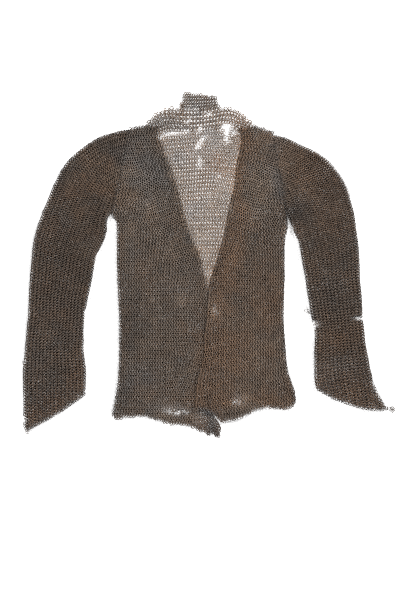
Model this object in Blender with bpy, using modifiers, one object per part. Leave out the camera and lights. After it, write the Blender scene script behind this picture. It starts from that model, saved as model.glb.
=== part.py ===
"""A mail shirt (hauberk) with long sleeves and a front that is open to the breastbone, laid flat on its back.

Metres, +Z up. +Y points from the hem to the collar, and +X to the wearer's left.
The tables are in millimetres. Each layer of mail is a wall, and the fronts lie on the back.
"""

import math
from collections import namedtuple

import bmesh
import bpy
from mathutils import Vector

MM = 0.001

# Driving sizes, in millimetres.
MAIL_WALL = 3.0  # one layer of linked rings, 1.2 mm wire, each ring leaning in its row
LAYER_GAP = 0.3  # between layers that lie on each other
SEAM_GAP = 0.3  # between pieces that are linked side by side
LAP_REACH = 4.0  # how far past the edge beneath it the lapping front stays lifted
LAP_RAMP = 12.0  # the width over which the lapping front comes down again

BACK_FLOOR = 0.0
FRONT_FLOOR = MAIL_WALL + LAYER_GAP
LAP_LIFT = MAIL_WALL + LAYER_GAP
SLEEVE_DEPTH = 2 * MAIL_WALL + LAYER_GAP

# How finely the shapes are divided.
SIDE_STEPS = 18
ARMHOLE_STEPS = 8
BACK_COLUMNS = 60
FRONT_COLUMNS = 24
LAPPING_CROWD = 1.5  # above 1, the lapping front's columns stand closer at its free edge
COLLAR_COLUMNS = 12
COLLAR_STEPS = 4
STEPS_PER_SECTION = 2
SLEEVE_COLUMNS = 8
FOLD_STEPS = 8
SPLINE_STEPS = 12

Point = namedtuple("Point", "x y")
Section = namedtuple("Section", "outer_x outer_y inner_x inner_y bow")


def points(*rows):
    return [Point(*row) for row in rows]


# Corners where pieces meet: the armpits, the shoulder ends of the armholes, the point of the V, the neck.
ARMPIT_RIGHT, SHOULDER_RIGHT = points((-233, 118), (-190, 325))
ARMPIT_LEFT, SHOULDER_LEFT = points((188, 108), (151, 317))
V_POINT_RIGHT, V_POINT_LEFT = points((-2, -67), (-1, -67))
NECK_RIGHT, NECK_LEFT = points((-125, 328), (62, 331))
COLLAR_FOOT = 371  # the height at which the collar joins the band round the neck

# Sides of the torso, from the hem up to the armpit. The left one flares at the hem.
SIDE_RIGHT = points(
    (-233, -362), (-224, -317), (-217, -257), (-215, -149), (-220, -41), (-221, 55), (-223, 112)
)
SIDE_LEFT = points(
    (209, -331), (204, -300), (191, -264), (184, -209), (179, -125), (182, -17), (182, 48), (190, 91)
)

# Free edges of the fronts: below, from the hem up to the point of the V, and then the opening up to the neck.
EDGE_RIGHT = points(
    (-41, -386), (-36, -358), (-19, -329), (-14, -276), (-5, -245), (2, -221), (3, -175), (6, -120)
)
OPENING_RIGHT = points(
    (-14, -19), (-29, 34), (-46, 67), (-55, 96), (-77, 182), (-89, 216), (-106, 264), (-119, 295)
)
EDGE_LEFT = points(
    (-36, -358), (-34, -346), (-29, -276), (-19, -245), (-12, -221), (-12, -175), (-5, -125)
)
OPENING_LEFT = points(
    (10, -19), (25, 26), (41, 89), (52, 151), (58, 170), (65, 214), (64, 230), (71, 259), (79, 293),
    (76, 312)
)

# Hems, from the wearer's right to the left. They are ragged, and the back's hangs lowest at the middle.
HEM_RIGHT = points(
    (-233, -362), (-226, -372), (-202, -370), (-178, -365), (-161, -367), (-142, -372), (-118, -379),
    (-98, -386), (-74, -386), (-55, -390), (-41, -386)
)
HEM_LEFT = points(
    (-36, -358), (-29, -349), (-10, -349), (2, -356), (13, -367), (24, -377), (35, -389), (41, -379),
    (55, -377), (86, -366), (108, -354), (130, -347), (151, -346), (173, -349), (192, -349), (204, -343),
    (209, -331)
)
HEM_BACK = points(
    (-233, -362), (-226, -370), (-202, -367), (-161, -365), (-118, -377), (-94, -383), (-70, -384),
    (-53, -388), (-38, -394), (-29, -400), (-14, -403), (-6, -415), (0, -407), (10, -410), (22, -416),
    (26, -410), (29, -391), (36, -374), (55, -373), (86, -362), (108, -352), (130, -344), (151, -343),
    (173, -347), (192, -347), (204, -341), (209, -331)
)

# Upper edges. The fronts end at the shoulder fold, and the back goes on into a loose band round the neck.
TOP_RIGHT = points(SHOULDER_RIGHT, (-170, 329), (-151, 331), NECK_RIGHT)
TOP_LEFT = points(NECK_LEFT, (82, 327), (108, 329), (127, 325), SHOULDER_LEFT)
BAND_RIGHT = points(
    (-170, 328), (-151, 330), (-147, 343), (-130, 359), (-106, 372), (-89, 376), (-78, COLLAR_FOOT)
)
BAND_LEFT = points(
    (34, COLLAR_FOOT), (43, 376), (57, 371), (76, 360), (92, 349), (102, 338), (108, 329), (127, 324)
)
COLLAR_SIDE_RIGHT = points((-75, COLLAR_FOOT + SEAM_GAP), (-65, 385), (-60, 413))
COLLAR_SIDE_LEFT = points((31, COLLAR_FOOT + SEAM_GAP), (20, 385), (17, 401))
COLLAR_TOP = points((-60, 413), (-46, 410), (-22, 406), (-2, 402), (10, 404), (17, 401))

# Sleeves, a row for each section across the tube from the armhole to the cuff: the outer fold, which carries
# on from the shoulder, the inner fold, which starts at the armpit, and how far the middle bows to the cuff.
SLEEVE_RIGHT = [
    Section(*SHOULDER_RIGHT, *ARMPIT_RIGHT, 0),
    Section(-264, 303, -240, 114, 0),
    Section(-314, 271, -244, 106, 0),
    Section(-353, 228, -244, 91, 0),
    Section(-382, 168, -245, 74, 0),
    Section(-413, 89, -259, 38, 0),
    Section(-424, 36, -271, 13, 0),
    Section(-432, -70, -288, -77, 0),
    Section(-434, -113, -298, -115, 0),
    Section(-442, -209, -301, -197, 0),
    Section(-446, -247, -296, -235, 0),
    Section(-445, -343, -295, -290, 2),
    Section(-438, -400, -294, -312, 3),
]
SLEEVE_LEFT = [
    Section(*SHOULDER_LEFT, *ARMPIT_LEFT, 0),
    Section(231, 281, 196, 91, 0),
    Section(286, 246, 204, 73, 0),
    Section(324, 194, 212, 58, 0),
    Section(343, 142, 218, 36, 0),
    Section(355, 74, 224, -2, 0),
    Section(362, -12, 233, -55, 0),
    Section(367, -98, 240, -103, 0),
    Section(373, -171, 253, -163, 0),
    Section(383, -230, 252, -214, 3),
    Section(397, -288, 252, -259, 7),
    Section(409, -318, 252, -278, 10),
    Section(430, -353, 252, -298, 14),
]

Finish = namedtuple("Finish", "colour roughness metallic")
FINISHES = {
    "back": Finish((0.33, 0.29, 0.26), 0.55, 0.7),
    "front_right": Finish((0.19, 0.17, 0.15), 0.55, 0.7),
    "front_left": Finish((0.20, 0.17, 0.15), 0.55, 0.7),
    "sleeve_right": Finish((0.18, 0.16, 0.15), 0.55, 0.7),
    "sleeve_left": Finish((0.18, 0.16, 0.15), 0.55, 0.7),
    "collar": Finish((0.31, 0.28, 0.25), 0.55, 0.7),
}


def spline(rows, position):
    """The row at a position, counted in rows, on the Catmull-Rom curve through them."""
    last = len(rows) - 1
    here = min(int(position), last - 1)
    t = position - here
    near = (rows[min(max(here + step, 0), last)] for step in (-1, 0, 1, 2))
    weights = (
        (2 * t**2 - t - t**3) / 2,
        (2 - 5 * t**2 + 3 * t**3) / 2,
        (t + 4 * t**2 - 3 * t**3) / 2,
        (t**3 - t**2) / 2,
    )
    return type(rows[0])(*(sum(w * v for w, v in zip(weights, column)) for column in zip(*near)))


def smooth(rows):
    """The curve through the rows, as closely spaced points."""
    count = (len(rows) - 1) * SPLINE_STEPS
    return [spline(rows, step / SPLINE_STEPS) for step in range(count + 1)]


def read_line(line, wanted, by, of):
    """Coordinate `of` of a line where its coordinate `by`, which rises along it, reaches the wanted value."""
    for start, end in zip(line, line[1:]):
        if wanted <= end[by]:
            return start[of] + (end[of] - start[of]) * (wanted - start[by]) / (end[by] - start[by])
    return line[-1][of]


def even_points(line, steps):
    """The line cut into steps of equal length."""
    lengths = [0.0]
    for start, end in zip(line, line[1:]):
        lengths.append(lengths[-1] + math.dist(start, end))
    travelled = [Point(length, order) for order, length in enumerate(lengths)]
    found = []
    for step in range(steps + 1):
        position = read_line(travelled, lengths[-1] * step / steps, 0, 1)
        here = min(int(position), len(line) - 2)
        found.append(Point(*Vector(line[here]).lerp(Vector(line[here + 1]), position - here)))
    return found


def side_edge(side, armpit, shoulder, inward):
    """A torso edge from the hem up to the armpit, then up the armhole's seam. inward is its seam gap in x."""
    armpit = Point(armpit.x + inward, armpit.y)
    shoulder = Point(shoulder.x + inward, shoulder.y)
    low = even_points(smooth(side + [armpit]), SIDE_STEPS)
    return low + even_points([armpit, shoulder], ARMHOLE_STEPS)[1:]


def free_edge(below, v_point, opening, neck):
    """A front's free edge from the hem, past the point of the V, and up the opening to the neck."""
    return even_points(smooth(below + [v_point] + opening + [neck]), SIDE_STEPS + ARMHOLE_STEPS)


def named_object(name, surface):
    mesh = bpy.data.meshes.new(name)
    surface.to_mesh(mesh)
    surface.free()
    return bpy.data.objects.new(name, mesh)


def panel(name, left, right, bottom, top, columns, floor, lift=None, crowd=1.0):
    """A panel of mail between its left and right edges, with a shaped lower and upper edge.

    Each column keeps its share of the way across. lift says how far a place (x, y) stands off the floor.
    """
    surface = bmesh.new()
    grid = []
    rows = len(left) - 1
    for column in range(columns + 1):
        across = (column / columns) ** crowd
        foot = Vector(left[0]).lerp(Vector(right[0]), across)
        head = Vector(left[-1]).lerp(Vector(right[-1]), across)
        drop = read_line(bottom, foot.x, 0, 1) - foot.y
        rise = read_line(top, head.x, 0, 1) - head.y
        line = []
        for row, (start, end) in enumerate(zip(left, right)):
            up = row / rows
            x, y = Vector(start).lerp(Vector(end), across)
            y += (1 - up) * drop + up * rise
            z = floor + (lift(x, y) if lift else 0.0)
            line.append(surface.verts.new(Vector((x, y, z)) * MM))
        grid.append(line)
    for near, far in zip(grid, grid[1:]):
        for row in range(rows):
            surface.faces.new((near[row], far[row], far[row + 1], near[row + 1]))
    piece = named_object(name, surface)
    wall = piece.modifiers.new("wall", "SOLIDIFY")
    wall.thickness = MAIL_WALL * MM
    wall.offset = 1.0
    wall.use_even_offset = True
    return piece


def lap_over(edge_beneath):
    """How far the lapping front stands up at (x, y) to clear the free edge of the front beneath it."""

    def lift(x, y):
        end_of_ramp = read_line(edge_beneath, y, 1, 0) + LAP_REACH + LAP_RAMP
        share = min(max((end_of_ramp - x) / LAP_RAMP, 0.0), 1.0)
        return LAP_LIFT * share * share * (3 - 2 * share)

    return lift


def half_fold(centre, outwards, radius):
    """The inner points of a half circle that rises from below the centre to above it, bulging outwards."""
    turns = [math.pi * step / FOLD_STEPS - math.pi / 2 for step in range(1, FOLD_STEPS)]
    return [centre + Vector((0, 0, math.sin(t) * radius)) + outwards * math.cos(t) * radius for t in turns]


def sleeve_ring(section, side, inset):
    """One closed ring of a flattened tube: flat below, a round fold, flat above, and a round fold again."""
    outer = Vector((section.outer_x, section.outer_y, 0.0))
    inner = Vector((section.inner_x, section.inner_y, 0.0))
    across = (outer - inner).normalized()
    bow = across.cross(Vector((0, 0, side))) * section.bow
    centre_height = Vector((0, 0, SLEEVE_DEPTH / 2))
    start = inner + across * SLEEVE_DEPTH / 2 + centre_height
    end = outer - across * SLEEVE_DEPTH / 2 + centre_height
    radius = SLEEVE_DEPTH / 2 - inset
    shares = [step / SLEEVE_COLUMNS for step in range(SLEEVE_COLUMNS + 1)]
    middle = [start.lerp(end, share) + bow * 4 * share * (1 - share) for share in shares]
    up = Vector((0, 0, radius))
    below = [point - up for point in middle]
    above = [point + up for point in reversed(middle)]
    return below + half_fold(end, across, radius) + above + half_fold(start, -across, radius)[::-1]


def sleeve(name, table, side):
    """A sleeve laid flat: a tube of mail, open at both ends. side is 1 for the left sleeve, or -1."""
    steps = (len(table) - 1) * STEPS_PER_SECTION
    sections = [spline(table, step / STEPS_PER_SECTION) for step in range(steps + 1)]
    seam = side * SEAM_GAP / 2
    armhole = sections[0]
    sections[0] = armhole._replace(outer_x=armhole.outer_x + seam, inner_x=armhole.inner_x + seam)
    surface = bmesh.new()
    outside, inside = (
        [
            [surface.verts.new(point * MM) for point in sleeve_ring(section, side, inset)]
            for section in sections
        ]
        for inset in (0.0, MAIL_WALL)
    )
    pairs = list(zip(outside, outside[1:])) + list(zip(inside, inside[1:]))
    pairs += [(outside[0], inside[0]), (outside[-1], inside[-1])]
    for near, far in pairs:
        for a, b, c, d in zip(near, near[1:] + near[:1], far[1:] + far[:1], far):
            surface.faces.new((a, b, c, d))
    bmesh.ops.recalc_face_normals(surface, faces=surface.faces)
    return named_object(name, surface)


def finish(piece):
    """Gives a piece its own iron material."""
    look = FINISHES[piece.name]
    material = bpy.data.materials.new(piece.name + "_mail")
    material.use_nodes = True
    shader = material.node_tree.nodes["Principled BSDF"]
    shader.inputs["Base Color"].default_value = (*look.colour, 1.0)
    shader.inputs["Roughness"].default_value = look.roughness
    shader.inputs["Metallic"].default_value = look.metallic
    piece.data.materials.append(material)


def make_torso():
    half_seam = SEAM_GAP / 2
    right_side = side_edge(SIDE_RIGHT, ARMPIT_RIGHT, SHOULDER_RIGHT, half_seam)
    left_side = side_edge(SIDE_LEFT, ARMPIT_LEFT, SHOULDER_LEFT, -half_seam)
    right_edge = free_edge(EDGE_RIGHT, V_POINT_RIGHT, OPENING_RIGHT, NECK_RIGHT)
    left_edge = free_edge(EDGE_LEFT, V_POINT_LEFT, OPENING_LEFT, NECK_LEFT)
    neckline = [SHOULDER_RIGHT, *BAND_RIGHT, *BAND_LEFT, SHOULDER_LEFT]
    lift = lap_over(smooth(EDGE_RIGHT + [V_POINT_RIGHT] + OPENING_RIGHT))
    return [
        panel("back", right_side, left_side, smooth(HEM_BACK), neckline, BACK_COLUMNS, BACK_FLOOR),
        panel(
            "front_right", right_side, right_edge, smooth(HEM_RIGHT), smooth(TOP_RIGHT), FRONT_COLUMNS,
            FRONT_FLOOR
        ),
        panel(
            "front_left", left_edge, left_side, smooth(HEM_LEFT), smooth(TOP_LEFT), FRONT_COLUMNS,
            FRONT_FLOOR, lift, LAPPING_CROWD
        ),
    ]


def make_collar():
    right_side = even_points(smooth(COLLAR_SIDE_RIGHT), COLLAR_STEPS)
    left_side = even_points(smooth(COLLAR_SIDE_LEFT), COLLAR_STEPS)
    foot = [right_side[0], left_side[0]]
    return panel("collar", right_side, left_side, foot, smooth(COLLAR_TOP), COLLAR_COLUMNS, BACK_FLOOR)


def hang_on_centre(pieces):
    """Parents the pieces to an empty that puts the middle of the whole garment over the origin."""
    corners = [Vector(corner) for piece in pieces for corner in piece.bound_box]
    low = [min(corner[axis] for corner in corners) for axis in (0, 1)]
    high = [max(corner[axis] for corner in corners) for axis in (0, 1)]
    garment = bpy.data.objects.new("garment", None)
    garment.location = (-(low[0] + high[0]) / 2, -(low[1] + high[1]) / 2, 0.0)
    for piece in pieces:
        piece.parent = garment
    return garment


def main():
    for old in list(bpy.data.objects):
        bpy.data.objects.remove(old)
    collection = bpy.data.collections.new("hauberk")
    bpy.context.scene.collection.children.link(collection)
    pieces = make_torso() + [
        sleeve("sleeve_right", SLEEVE_RIGHT, -1),
        sleeve("sleeve_left", SLEEVE_LEFT, 1),
        make_collar(),
    ]
    for piece in pieces:
        finish(piece)
        collection.objects.link(piece)
    bpy.context.view_layer.update()
    collection.objects.link(hang_on_centre(pieces))


main()
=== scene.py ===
# %% [markdown]
# # A mail shirt, laid flat on its back
# A mail shirt is cloth made of iron rings. Each ring passes through two rings of the row above it and two
# of the row below it. The shirt here has a back, two fronts that are open to the breastbone, two long
# sleeves and a stub of collar. Its solid model is already packed: this lesson loads it and covers it with
# the rings.

# %% Tools
import math
from collections import namedtuple

import bpy
import numpy as np
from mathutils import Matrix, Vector, noise


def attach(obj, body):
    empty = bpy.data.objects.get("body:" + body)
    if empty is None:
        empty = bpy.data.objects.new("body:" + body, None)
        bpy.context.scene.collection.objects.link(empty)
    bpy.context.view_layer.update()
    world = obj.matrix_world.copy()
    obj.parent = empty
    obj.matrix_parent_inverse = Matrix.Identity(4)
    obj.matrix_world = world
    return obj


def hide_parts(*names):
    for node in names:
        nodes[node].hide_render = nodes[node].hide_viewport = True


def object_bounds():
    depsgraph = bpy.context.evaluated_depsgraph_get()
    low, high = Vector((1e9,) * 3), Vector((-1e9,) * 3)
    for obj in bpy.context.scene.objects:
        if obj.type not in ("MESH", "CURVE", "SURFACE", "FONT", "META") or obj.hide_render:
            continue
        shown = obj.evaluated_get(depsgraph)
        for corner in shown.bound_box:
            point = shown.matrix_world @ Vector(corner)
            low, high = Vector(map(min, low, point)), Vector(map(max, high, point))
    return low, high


MM = 0.001
print("Blender", bpy.app.version_string)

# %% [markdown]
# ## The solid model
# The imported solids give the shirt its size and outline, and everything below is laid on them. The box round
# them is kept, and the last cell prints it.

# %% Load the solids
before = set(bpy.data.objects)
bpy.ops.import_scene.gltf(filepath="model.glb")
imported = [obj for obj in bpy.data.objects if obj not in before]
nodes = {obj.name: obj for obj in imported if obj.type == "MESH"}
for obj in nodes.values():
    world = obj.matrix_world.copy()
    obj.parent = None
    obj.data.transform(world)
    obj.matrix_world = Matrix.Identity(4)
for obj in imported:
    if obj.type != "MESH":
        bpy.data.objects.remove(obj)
solid_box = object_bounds()
print("solids:", ", ".join(sorted(nodes)))
print("box in mm:", [round(side / MM, 1) for side in solid_box[1] - solid_box[0]])

# %% [markdown]
# ## Camera
# The shirt lies on the floor and is seen from straight above. A long lens keeps the picture flat, as a copy
# stand does. The shirt's middle isn't the picture's middle, so the camera stands over a chosen point.

# %% Camera over the shirt
PICTURE_HEIGHT = 1440 * MM  # how much of the floor the picture's long side takes in
PICTURE_MIDDLE = Vector((-13.7, -86.5, 0.0)) * MM
LENS, SENSOR = 85.0, 36.0  # millimetres of camera, not of shirt

camera_data = bpy.data.cameras.new("camera")
camera_data.lens = LENS
camera_data.sensor_width = SENSOR
camera = bpy.data.objects.new("camera", camera_data)
camera_height = PICTURE_HEIGHT * LENS / SENSOR
camera.location = PICTURE_MIDDLE + Vector((0.0, 0.0, camera_height))
bpy.context.scene.collection.objects.link(camera)
bpy.context.scene.camera = camera
print("camera height in m:", round(camera_height, 2))

# %% [markdown]
# ## Nodes written as sums
# The floor, the rings and their finish are all made with nodes. A node graph is easier to read as a
# formula, so one small class stands for the output of a node. Sums and products of such values add Math
# nodes, and one method adds any other node: it takes the node's type, its settings, and what goes into its
# sockets.

# %% A value in a node tree
class Value:
    """The output of a node. The first one of a tree has no socket yet, and only starts the others."""

    def __init__(self, tree, socket=None):
        self.tree, self.socket = tree, socket

    def node(self, kind, settings=(), inputs=(), output=0):
        """A new node of this kind, as the value of one of its outputs."""
        made = self.tree.nodes.new(kind)
        for name, setting in dict(settings).items():
            setattr(made, name, setting)
        for name, given in dict(inputs).items():
            if isinstance(given, Value):
                self.tree.links.new(given.socket, made.inputs[name])
            else:
                made.inputs[name].default_value = given
        return Value(self.tree, made.outputs[output]) if made.outputs else None

    def maths(self, operation, first, second):
        return self.node("ShaderNodeMath", {"operation": operation}, {0: first, 1: second})

    def __add__(self, other):
        return self.maths("ADD", self, other)

    def __sub__(self, other):
        return self.maths("SUBTRACT", self, other)

    def __rsub__(self, other):
        return self.maths("SUBTRACT", other, self)

    def __mul__(self, other):
        return self.maths("MULTIPLY", self, other)

    __radd__, __rmul__ = __add__, __mul__


print("operators: + - *")

# %% [markdown]
# ## Floor
# Mail reads by its holes, so the floor under it is pale. It is a wide plane just under the lowest wire, and
# far from the shirt it begins to glow, so that it stays white up to its edge when it is seen from the side.

# %% Floor
FLOOR_SIDE = 12.0
FLOOR_DROP = 0.4 * MM  # it lies just under the lowest wire
GLOW_FROM, GLOW_FULL = 1.3, 2.8  # metres from the middle

bpy.ops.object.select_all(action="DESELECT")
bpy.ops.mesh.primitive_plane_add(size=FLOOR_SIDE, location=(0, 0, -FLOOR_DROP))
floor = bpy.context.object
floor.name = "floor"
floor_paint = bpy.data.materials.new("floor_paint")
floor_paint.use_nodes = True
paint = Value(floor_paint.node_tree)
place = paint.node("ShaderNodeTexCoord", output="Object")
from_middle = paint.node("ShaderNodeVectorMath", {"operation": "LENGTH"}, {0: place}, "Value")
glow = paint.node(
    "ShaderNodeMapRange", {"interpolation_type": "SMOOTHSTEP"},
    {"Value": from_middle, "From Min": GLOW_FROM, "From Max": GLOW_FULL},
)
glow_colour = paint.node("ShaderNodeCombineColor", {}, {"Red": glow, "Green": glow, "Blue": glow})
paint_shader = floor_paint.node_tree.nodes["Principled BSDF"]
paint_shader.inputs["Base Color"].default_value = (0.92, 0.92, 0.92, 1)
paint_shader.inputs["Roughness"].default_value = 0.9
paint_shader.inputs["Specular IOR Level"].default_value = 0.1
paint_shader.inputs["Emission Strength"].default_value = 1.0
floor_paint.node_tree.links.new(glow_colour.socket, paint_shader.inputs["Emission Color"])
floor.data.materials.append(floor_paint)
print("floor: a square of", FLOOR_SIDE, "m")

# %% [markdown]
# ## Light
# Three large round lamps stand to the sides, because slanting light reaches the floor through one layer of
# mail, but hardly through two. The sky adds a soft light that is weaker overhead. The camera itself sees a
# white sky. Rings this small need a crisp picture, so the camera's filter is narrow and the denoiser, which
# smears them, is off.

# %% Lamps
Lamp = namedtuple("Lamp", "name x y z side power")
LAMPS = [
    Lamp("lamp_key", 2.2, 2.6, 2.3, 1.2, 205),
    Lamp("lamp_left", -3.0, 0.6, 2.0, 1.4, 124),
    Lamp("lamp_foot", 0.8, -3.0, 2.0, 1.4, 97),
]
for lamp in LAMPS:
    light = bpy.data.lights.new(lamp.name, "AREA")
    light.shape = "DISK"
    light.size = lamp.side
    light.energy = lamp.power
    stand = bpy.data.objects.new(lamp.name, light)
    stand.location = (lamp.x, lamp.y, lamp.z)
    stand.rotation_euler = (-stand.location).to_track_quat("-Z", "Y").to_euler()
    bpy.context.scene.collection.objects.link(stand)

HORIZON_LIGHT, OVERHEAD_LIGHT, OVERHEAD_FROM = 0.55, 0.06, 0.6

world = bpy.data.worlds.new("studio")
world.use_nodes = True
sky = Value(world.node_tree)
way_up = sky.node(
    "ShaderNodeSeparateXYZ", {}, {"Vector": sky.node("ShaderNodeTexCoord", output="Generated")}, "Z"
)
dimmed = sky.node(
    "ShaderNodeMapRange", {},
    {
        "Value": way_up, "From Min": 0.0, "From Max": OVERHEAD_FROM,
        "To Min": HORIZON_LIGHT, "To Max": OVERHEAD_LIGHT,
    },
)
seen = sky.node("ShaderNodeLightPath", output="Is Camera Ray")
background = world.node_tree.nodes["Background"]
background.inputs["Color"].default_value = (1, 1, 1, 1)
world.node_tree.links.new((dimmed + (1.0 - dimmed) * seen).socket, background.inputs["Strength"])
bpy.context.scene.world = world
bpy.context.scene.view_settings.view_transform = "Standard"
bpy.context.scene.cycles.filter_width = 1.0
bpy.context.scene.cycles.use_denoising = False
print("lamps:", len(LAMPS))

# %% [markdown]
# ## One ring
# Each ring is a closed loop of iron wire with a flattened lap, where a rivet shuts it. The shirt has almost
# thirty thousand of them, so a ring has only 30 to 48 triangles: a torus with very few sides, shaped once
# and then repeated. Rings that are seen singly get seven or eight corners, most get six, and those
# underneath get five. Rows of lighter rings alternate with rows of heavier ones, as on many old shirts. The
# wire is drawn thicker than real wire where the mail has to look dense.

# %% Ring sizes
RING = 3.65 * MM  # from the ring's middle to the middle of its wire
WIDE_RING, SMALL_RING = 3.85 * MM, 3.1 * MM
LIGHT_WIRE, HEAVY_WIRE, HIDDEN_WIRE = 1.25 * MM, 1.6 * MM, 1.9 * MM  # across
FINE_LIGHT, FINE_HEAVY = 1.3 * MM, 1.65 * MM
BAND_LIGHT, BAND_HEAVY, COLLAR_WIRE = 1.7 * MM, 2.05 * MM, 1.7 * MM
RING_REACH = RING + LIGHT_WIRE / 2
CORNER_REACH = 4.15 * MM  # no corner of a ring lies further from its middle
HAMMERED, FLAT = 0.65, 0.3  # how flat the hammer left the wire
LAP_FLATNESS = 0.75
LAP_DEPTH, LAP_START = 2, -0.1  # in wires from the ring's top, and in radii from its middle
WIRE_SIDES = 3
print("a ring is", round(2 * RING_REACH / MM, 1), "mm wide")

# %% [markdown]
# ## Shaping a ring
# The ring starts as a torus and is pressed flat in edit mode, as a hammer does. The lap is a part of it near
# the top, on one side, so its corners are found by their place and pressed once more. A torus with so few
# sides looks smaller than a round one, so its corners are set further out.

# %% Model the rings
def corner_radius(radius, sides):
    """How far a polygon's corners lie from its middle if it is to look like a circle of this radius."""
    return radius * 2 / (1 + math.cos(math.pi / sides))


def model_ring(name, sides, radius, wire, flatness):
    """One ring round the Z axis, hammered flat, with its riveted lap on +Y."""
    bpy.ops.object.select_all(action="DESELECT")
    bpy.ops.mesh.primitive_torus_add(
        major_segments=sides, minor_segments=WIRE_SIDES, generate_uvs=True,
        major_radius=corner_radius(radius, sides), minor_radius=corner_radius(wire / 2, 4),
    )
    ring = bpy.context.object
    ring.name = name
    bpy.ops.object.mode_set(mode="EDIT")
    bpy.ops.mesh.select_all(action="SELECT")
    bpy.ops.transform.resize(value=(1.0, 1.0, flatness))
    bpy.ops.mesh.select_all(action="DESELECT")
    bpy.ops.object.mode_set(mode="OBJECT")
    top = max(vertex.co.y for vertex in ring.data.vertices)
    for vertex in ring.data.vertices:
        vertex.select = vertex.co.y > top - LAP_DEPTH * wire and vertex.co.x > LAP_START * radius
    bpy.ops.object.mode_set(mode="EDIT")
    bpy.ops.transform.resize(value=(1.0, 1.0, LAP_FLATNESS))
    bpy.ops.object.mode_set(mode="OBJECT")
    bpy.ops.object.shade_smooth()
    print(name, "has", 2 * len(ring.data.polygons), "triangles")
    return ring


RINGS = [
    model_ring("ring_0_beneath", 5, RING, HIDDEN_WIRE, FLAT),
    model_ring("ring_1_plain_light", 6, RING, LIGHT_WIRE, HAMMERED),
    model_ring("ring_2_plain_heavy", 6, RING, HEAVY_WIRE, HAMMERED),
    model_ring("ring_3_fine_light", 7, WIDE_RING, FINE_LIGHT, HAMMERED),
    model_ring("ring_4_fine_heavy", 7, WIDE_RING, FINE_HEAVY, HAMMERED),
    model_ring("ring_5_band_light", 8, WIDE_RING, BAND_LIGHT, HAMMERED),
    model_ring("ring_6_band_heavy", 8, WIDE_RING, BAND_HEAVY, HAMMERED),
    model_ring("ring_7_collar", 8, SMALL_RING, COLLAR_WIRE, HAMMERED),
]
BENEATH, PLAIN, FINE, BAND, SMALL = 0, 1, 3, 5, 7  # places in that list
PAIRED = (PLAIN, FINE, BAND)  # kinds whose heavy ring comes straight after the light one

# %% [markdown]
# ## Rings by the thousand
# An Array modifier can only repeat a ring in straight lines, and mail follows the body. Geometry Nodes can
# put a ring on every point of a mesh instead, and turn each one as the point says. So the rows are worked
# out first, as points with a few values each, and one node group then turns any set of points into rings.

# %% A node group that puts rings on points
BAKE_MAP = "OFBake"  # the UV map that a texture bake uses: each ring has a small square of it

ring_models = bpy.data.collections.new("ring_models")
for ring in RINGS:
    for home in list(ring.users_collection):
        home.objects.unlink(ring)
    ring_models.objects.link(ring)


def linking_nodes():
    """Geometry in, as points with the values `kind`, `lean`, `spin` and `cell`; rings out."""
    tree = bpy.data.node_groups.new("link_rings", "GeometryNodeTree")
    for way in ("INPUT", "OUTPUT"):
        tree.interface.new_socket("Geometry", in_out=way, socket_type="NodeSocketGeometry")
    start = Value(tree)

    def stored(name, data_type="FLOAT_VECTOR"):
        return start.node("GeometryNodeInputNamedAttribute", {"data_type": data_type}, {"Name": name})

    spin = start.node("FunctionNodeEulerToRotation", {}, {"Euler": stored("spin")})
    turn = start.node(
        "FunctionNodeAlignRotationToVector", {"axis": "Z"}, {"Rotation": spin, "Vector": stored("lean")}
    )
    models = start.node(
        "GeometryNodeCollectionInfo", {},
        {"Collection": ring_models, "Separate Children": True, "Reset Children": True},
    )
    points = start.node("NodeGroupInput")
    rings = start.node(
        "GeometryNodeInstanceOnPoints", {},
        {
            "Points": points, "Instance": models, "Pick Instance": True,
            "Instance Index": stored("kind", "INT"), "Rotation": turn,
        },
    )
    mesh = start.node("GeometryNodeRealizeInstances", {}, {"Geometry": rings})
    side = start.node("ShaderNodeSeparateXYZ", {}, {"Vector": stored("cell")}, "Z")
    place = start.node(
        "ShaderNodeVectorMath", {"operation": "MULTIPLY_ADD"},
        {0: stored("UVMap"), 1: side, 2: stored("cell")},
    )
    mapped = start.node(
        "GeometryNodeStoreNamedAttribute", {"data_type": "FLOAT2", "domain": "CORNER"},
        {"Geometry": mesh, "Name": BAKE_MAP, "Value": place},
    )
    for spare in ("UVMap", "cell", "spin", "lean", "kind"):
        mapped = start.node("GeometryNodeRemoveAttribute", {}, {"Geometry": mapped, "Name": spare})
    start.node("NodeGroupOutput", {}, {"Geometry": mapped})
    return tree


link_rings = linking_nodes()
print("nodes in the group:", len(link_rings.nodes))

# %% [markdown]
# ## The outline of each piece
# Rings go where the solids are. Seen from above, each solid covers some cells of a fine grid, and the grid
# also keeps the height of its upper surface. The grid is filled from the solid's triangles, one after
# another.

# %% Grid over the shirt
GRID = 0.5 * MM
MARGIN = 24 * MM
UPRIGHT = 1e-12  # m2: a triangle that covers less than this stands upright
grid_low = np.array(solid_box[0][:2]) - MARGIN
grid_shape = tuple(np.ceil((np.array(solid_box[1][:2]) + MARGIN - grid_low) / GRID).astype(int))


def cells_at(places):
    """The grid cells of an array of places (x, y)."""
    cells = ((places - grid_low) / GRID).astype(int)
    return tuple(cells.clip(0, np.array(grid_shape) - 1).T)


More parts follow.
